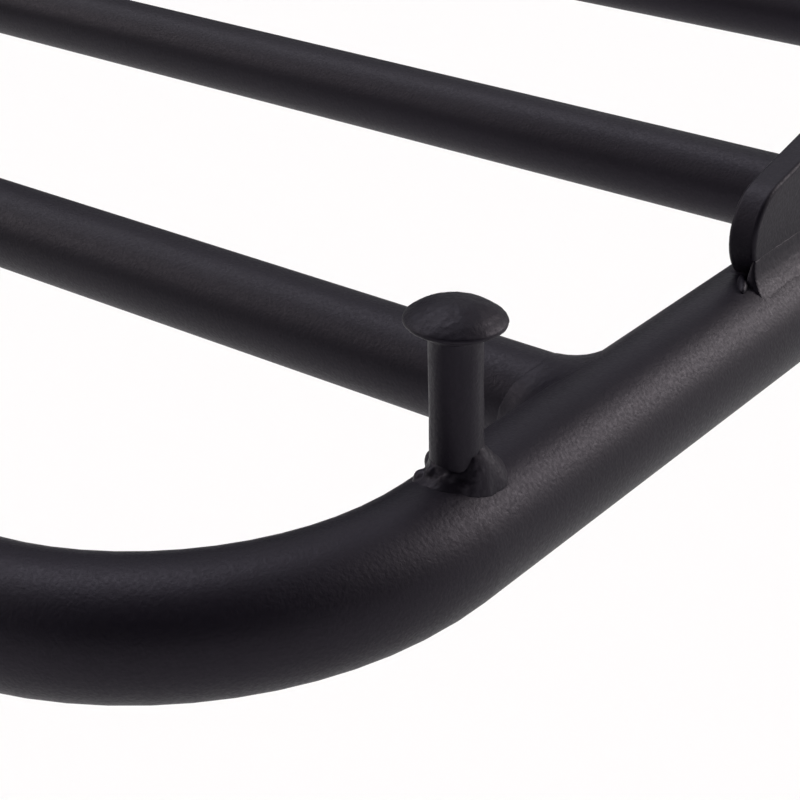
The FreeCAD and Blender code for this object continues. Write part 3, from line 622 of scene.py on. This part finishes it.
def tee_weld(shape, centre, bar_r, tube_r, bar_way, tube_way, legs, draw):
    """The seam where a bar, leaving centre along bar_way, comes out of a tube that runs along tube_way.

    legs are the weld's reach along the bar and over the tube.
    """
    side_way = tube_way.cross(bar_way)
    leg_bar, leg_tube = legs
    factor_bar, factor_tube = uneven(draw, depth=0.13), uneven(draw, depth=0.13)

    def on_skin(angle, distance):
        normal = bar_way * math.cos(angle) + side_way * math.sin(angle)
        return centre + normal * tube_r + tube_way * distance, normal

    sections = []
    for step in range(ROUND_STEPS):
        share = step / ROUND_STEPS
        along, off = math.cos(math.tau * share), math.sin(math.tau * share)
        start = math.asin(bar_r * off / tube_r)
        reach = leg_tube * factor_tube(share)
        corner, _ = on_skin(start, bar_r * along)
        toe, toe_normal = on_skin(start + reach * off / tube_r, (bar_r + reach) * along)
        top = corner + bar_way * (leg_bar * factor_bar(share))
        sections.append(section(corner, toe, top, toe_normal, tube_way * along + side_way * off))
    add_seam(shape, sections, True)


def add_bar_welds():
    for number, node in enumerate(BAR_NODES, start=1):
        for side_name, side in (("left", -1), ("right", 1)):
            draw = random.Random(20 + number * 2 + side)
            shape = bmesh.new()
            centre = Vector((SIDE_X, middle(node).y, DECK_Z))
            tee_weld(shape, centre, half_height(node), TUBE_R, -X_WAY, Y_WAY, BAR_WELD_LEGS, draw)
            weld_piece(f"bar_weld_{number}_{side_name}", shape, "deck", "crossbar_weld_beads", side)


def plate_run(shape, tube, ways, half, run, outward, leg, draw, blunt=False, belly=BELLY):
    """A run of weld along the foot of a plate that stands on a tube, tapering at its far end or at both.

    tube is a point on the tube's axis. ways are the directions across the plate, along the tube and up the
    plate, and half is half the plate's thickness. run is where it starts and ends along the tube, and outward
    picks the plate's face.
    """
    across, along, up = ways
    start, end = run
    factor = uneven(draw, depth=0.16)
    steps = max(12, int((end - start) / RUN_STEP))
    foot_turn = outward * math.asin(half / TUBE_R)
    sections = []
    for step in range(steps + 1):
        share = step / steps
        nearest = (1 - share if blunt else min(share, 1 - share)) * (end - start) / leg
        taper = math.sqrt(1 - (1 - min(nearest, 1)) ** 2)
        size = max(leg * factor(share) * taper, THINNEST)
        place = tube + along * (start + (end - start) * share)
        toe_turn = foot_turn + outward * size / TUBE_R
        corner = place + (across * math.sin(foot_turn) + up * math.cos(foot_turn)) * TUBE_R
        toe_normal = across * math.sin(toe_turn) + up * math.cos(toe_turn)
        top = corner + up * (size * PLATE_RISE)
        toe = place + toe_normal * TUBE_R
        sections.append(section(corner, toe, top, toe_normal, across * outward, belly))
    add_seam(shape, sections, False)


def nose_run(shape, nose_y, draw):
    """The weld round the front of a cheek's nose, from its inner face to its outer one."""
    factor = uneven(draw, depth=0.10)
    crest = Vector((SIDE_X, nose_y, DECK_Z + TUBE_R))
    sections = []
    steps = 28
    for step in range(steps + 1):
        turn = math.pi * step / steps
        out = Vector((math.cos(turn), -math.sin(turn), 0))
        size = NOSE_LEG * factor(step / steps)
        corner, _ = on_tube(crest, TUBE_R, False, out * CHEEK_HALF)
        toe, toe_normal = on_tube(crest, TUBE_R, False, out * (CHEEK_HALF + size))
        sections.append(section(corner, toe, corner + Z_WAY * (size * NOSE_RISE), toe_normal, out))
    add_seam(shape, sections, False)


def add_cheek_welds():
    """A run along the outer foot of each cheek, one round its nose, and three stitches inside."""
    low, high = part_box("hinge_cheek_right")
    nose_y = low.y + CHEEK_HALF + NOSE_BACK
    outer_run = (low.y + CHEEK_INSETS[0], high.y - CHEEK_INSETS[1])
    crest_z = DECK_Z + TUBE_R
    tongue_place = Vector((SIDE_X, low.y, crest_z)) + TONGUE_PLACE
    tube = Vector((SIDE_X, 0, DECK_Z))
    ways = (X_WAY, Y_WAY, Z_WAY)
    node = "cheek_weld_beads"
    for side_name, side in (("left", -1), ("right", 1)):
        draw = random.Random(50 + side)
        shape = bmesh.new()
        plate_run(shape, tube, ways, CHEEK_HALF, outer_run, 1, CHEEK_LEG, draw, True, CHEEK_BELLY)
        for vertex in shape.verts:
            vertex.co.y -= (crest_z + LEAN_LEVEL - vertex.co.z) * CHEEK_LEAN
        weld_piece(f"cheek_weld_outer_{side_name}", shape, "deck", node, side, COARSE_SKIN)
        shape = bmesh.new()
        nose_run(shape, nose_y, draw)
        add_lump(shape, tongue_place, TONGUE, TONGUE_TURN)
        weld_piece(f"cheek_weld_nose_{side_name}", shape, "deck", node, side, FINE_SKIN)
        for number in range(STITCHES):
            start = nose_y + number * STITCH_PITCH
            shape = bmesh.new()
            run = (start, start + STITCH_LENGTH)
            plate_run(shape, tube, ways, CHEEK_HALF, run, -1, STITCH_LEG, draw)
            weld_piece(f"cheek_weld_inner_{number + 1}_{side_name}", shape, "deck", node, side, COARSE_SKIN)


def add_housing_weld():
    """The weld round the plunger's housing on the outer face of the right cheek."""
    centre = middle("lock_housing")
    centre.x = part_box("lock_housing")[0].x
    radius = half_height("lock_housing")
    factor = uneven(random.Random(61), depth=0.12)
    sections = []
    for step in range(ROUND_STEPS):
        turn = math.tau * step / ROUND_STEPS
        out = Vector((0, math.cos(turn), math.sin(turn)))
        size = HOUSING_LEG * factor(step / ROUND_STEPS)
        corner = centre + out * radius
        sections.append(section(corner, corner + out * size, corner + X_WAY * size, X_WAY, out))
    shape = bmesh.new()
    add_seam(shape, sections, True)
    weld_piece("housing_weld", shape, "deck", "lock_weld_bead")


# ---- Welds of the fixed frame ----

CROSS_TUBE_LEGS = (3.4 * MM, 2.6 * MM)
HINGE_LEG = 2.8 * MM
FOOT_LEG = 2.3 * MM
FOOT_END = 4 * MM


def saddle_weld(shape, upright, hinge, hinge_r, draw):
    """The seam where the hinge tube, along X, is notched over the front of an upright, along Z.

    upright and hinge are points on the two axes, with the same X and Z.
    """
    apart = upright.y - hinge.y
    widest = math.acos((apart - hinge_r) / TUBE_R)
    factor = uneven(draw, depth=0.13)

    def on_upright(angle, height):
        normal = Vector((math.sin(angle), -math.cos(angle), 0))
        return upright + normal * TUBE_R + Z_WAY * height, normal

    def on_hinge(angle, slide):
        normal = Vector((0, math.cos(angle), math.sin(angle)))
        return hinge + normal * hinge_r + X_WAY * slide, normal

    sections = []
    for step in range(ROUND_STEPS):
        turn = math.tau * step / ROUND_STEPS
        size = HINGE_LEG * factor(step / ROUND_STEPS)
        sideways, upwards = math.cos(turn), math.sin(turn)
        round_upright = widest * sideways
        depth = apart - TUBE_R * math.cos(round_upright)
        round_hinge = math.copysign(math.acos(min(depth / hinge_r, 1)), upwards)
        height = hinge_r * math.sin(round_hinge)
        corner, _ = on_upright(round_upright, height)
        toe, toe_normal = on_upright(round_upright + size * sideways / TUBE_R, height + size * upwards)
        slide = TUBE_R * math.sin(round_upright) + size * sideways
        top, top_normal = on_hinge(round_hinge + size * upwards / hinge_r, slide)
        sections.append(section(corner, toe, top, toe_normal, top_normal))
    add_seam(shape, sections, True)


def add_frame_welds():
    """Welds of the cross tubes, the hinge tube and the feet's webs to the uprights."""
    upright = Vector((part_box("frame_hoop")[1].x - TUBE_R, middle("frame_hoop").y, 0))
    hinge = middle("hinge_tube")
    node = "frame_weld_beads"
    for side_name, side in (("left", -1), ("right", 1)):
        draw = random.Random(70 + side)
        for level in ("upper", "lower"):
            cross_tube = f"frame_cross_tube_{level}"
            shape = bmesh.new()
            centre = Vector((upright.x, upright.y, middle(cross_tube).z))
            tee_weld(shape, centre, half_height(cross_tube), TUBE_R, -X_WAY, Z_WAY, CROSS_TUBE_LEGS, draw)
            weld_piece(f"frame_weld_{level}_{side_name}", shape, "frame", node, side)
            low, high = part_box(f"foot_{level}_right")
            ways = (X_WAY, Z_WAY, Y_WAY)
            run = (low.z + FOOT_END, high.z - FOOT_END)
            for face_name, outward in (("inner", -1), ("outer", 1)):
                shape = bmesh.new()
                plate_run(shape, upright, ways, high.x - upright.x, run, outward, FOOT_LEG, draw)
                name = f"foot_weld_{level}_{face_name}_{side_name}"
                weld_piece(name, shape, "frame", node, side, COARSE_SKIN)
        shape = bmesh.new()
        beside = Vector((upright.x, upright.y, hinge.z))
        saddle_weld(shape, beside, Vector((upright.x, hinge.y, hinge.z)), half_height("hinge_tube"), draw)
        weld_piece(f"hinge_weld_{side_name}", shape, "frame", node, side)


# ---- Strap studs ----

HEAD_R = 5.65 * MM
RIM_Z = 18.45 * MM
TOP_Z = 20.75 * MM
EDGE_R = 0.4 * MM
UNDER_Z = 17.0 * MM
NECK_R = 0.5 * MM
UNDER_TURN = math.radians(155)
# Rings of points on the stem, of which the first lies inside the tube.
STEM_RINGS = [height * MM for height in (-0.6, 2, 5, 8, 11, 14)]
STUD_SEGMENTS = 96
COAT_DEPTH = 0.05 * MM
# How far a head leans: its rise per length towards +X and +Y. The right tail stud has its own.
MOST_LEAN = 0.02
TAIL_LEAN = Vector((-0.030, -0.024))


def stud_outline():
    """Half section of a strap stud, from the foot of its stem to just beside the crown of its dome.

    It is a stem, a hollow neck, a rounded edge and the arc of a dome that meets the edge without a crease.
    """
    points = [(STEM_R, height) for height in STEM_RINGS]
    steps = 4
    for step in range(steps + 1):
        turn = math.pi / 2 * step / steps
        points.append((STEM_R + NECK_R * (1 - math.cos(turn)), UNDER_Z - NECK_R * (1 - math.sin(turn))))
    edge_x = HEAD_R - EDGE_R
    rise = TOP_Z - EDGE_R - RIM_Z
    core_r = (edge_x ** 2 + rise ** 2) / (2 * rise)
    slope = math.asin(edge_x / core_r)
    steps = 8
    for step in range(steps + 1):
        turn = UNDER_TURN + (slope - UNDER_TURN) * step / steps
        points.append((edge_x + EDGE_R * math.sin(turn), RIM_Z + EDGE_R * math.cos(turn)))
    steps = 24
    for step in range(1, steps):
        turn = slope * (1 - step / steps)
        height = RIM_Z + rise - core_r + (core_r + EDGE_R) * math.cos(turn)
        points.append(((core_r + EDGE_R) * math.sin(turn), height))
    return points


def turned_shape(points, top, segments):
    """A turned skin: a half section spun round Z, closed by a point at the top and a fan at the foot."""
    shape = bmesh.new()
    rings = []
    for radius, height in points:
        ring = []
        for segment in range(segments):
            turn = math.tau * segment / segments
            ring.append(shape.verts.new((radius * math.cos(turn), radius * math.sin(turn), height)))
        rings.append(ring)
    crown = shape.verts.new((0, 0, top))
    foot = shape.verts.new((0, 0, points[0][1]))
    for ring, above in zip(rings, rings[1:]):
        for index in range(segments):
            after = (index + 1) % segments
            shape.faces.new((ring[index], ring[after], above[after], above[index]))
    for index in range(segments):
        after = (index + 1) % segments
        shape.faces.new((rings[-1][index], rings[-1][after], crown))
        shape.faces.new((rings[0][after], rings[0][index], foot))
    return shape


def add_studs():
    """The strap studs, with the domed heads and the slightly uneven coat of the real ones."""
    for place, base in (("tail", TAIL_STUD), ("inner", INNER_STUD)):
        for side_name, side in (("left", -1), ("right", 1)):
            draw = random.Random(90 + side + len(place))
            shape = turned_shape(stud_outline(), TOP_Z, STUD_SEGMENTS)
            lean = Vector((draw.uniform(-MOST_LEAN, MOST_LEAN), draw.uniform(-MOST_LEAN, MOST_LEAN)))
            if place == "tail" and side > 0:
                lean = TAIL_LEAN
            for vertex in shape.verts:
                share = min(max((vertex.co.z - UNDER_Z) / MM, 0), 1)
                vertex.co.z += share * (vertex.co.x * lean.x + vertex.co.y * lean.y)
                vertex.co += Vector((base.x * side, base.y, base.z))
            piece = new_piece(f"stud_{place}_{side_name}", shape)
            roughened(piece.data, COAT_DEPTH)
            mounted(piece, "deck", [f"strap_stud_{place}_{side_name}"], "black_coat")


# ---- Plunger spring ----

WIRE_R = 0.4 * MM
TURNS = 5.5
STEPS_A_TURN = 36
WIRE_CORNERS = 10
# The share of the wire that lies closed at each end.
CLOSED_SHARE = 0.09


def add_spring():
    """The wire spring round the plunger's stem, as one wound helix whose end coils lie closed."""
    low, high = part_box("lock_spring")
    centre = (low + high) / 2
    coil_r = (high.z - low.z) / 2 - WIRE_R
    length = high.x - low.x - 2 * WIRE_R
    shape = bmesh.new()
    rings = []
    steps = int(TURNS * STEPS_A_TURN)
    for step in range(steps + 1):
        share = step / steps
        turn = math.tau * TURNS * share
        travel = min(max((share - CLOSED_SHARE) / (1 - 2 * CLOSED_SHARE), 0), 1)
        out = Vector((0, math.cos(turn), math.sin(turn)))
        ring = []
        for corner in range(WIRE_CORNERS):
            angle = math.tau * corner / WIRE_CORNERS
            point = centre + out * (coil_r + WIRE_R * math.cos(angle))
            point.x = low.x + WIRE_R + length * travel + WIRE_R * math.sin(angle)
            ring.append(shape.verts.new(point))
        rings.append(ring)
    for ring, following in zip(rings, rings[1:]):
        for index in range(WIRE_CORNERS):
            after = (index + 1) % WIRE_CORNERS
            shape.faces.new((ring[index], following[index], following[after], ring[after]))
    shape.faces.new(rings[0])
    shape.faces.new(rings[-1][::-1])
    piece = new_piece("lock_spring_wound", shape)
    mounted(piece, "deck", ["lock_spring"], "zinc_steel")


# ---- The scene ----

add_camera()
add_world()
add_floor()
add_lights()
finish_cad_nodes()
add_bar_welds()
add_stud_welds()
add_cheek_welds()
add_housing_weld()
add_frame_welds()
add_studs()
add_spring()

bpy.context.scene.view_settings.view_transform = "Standard"
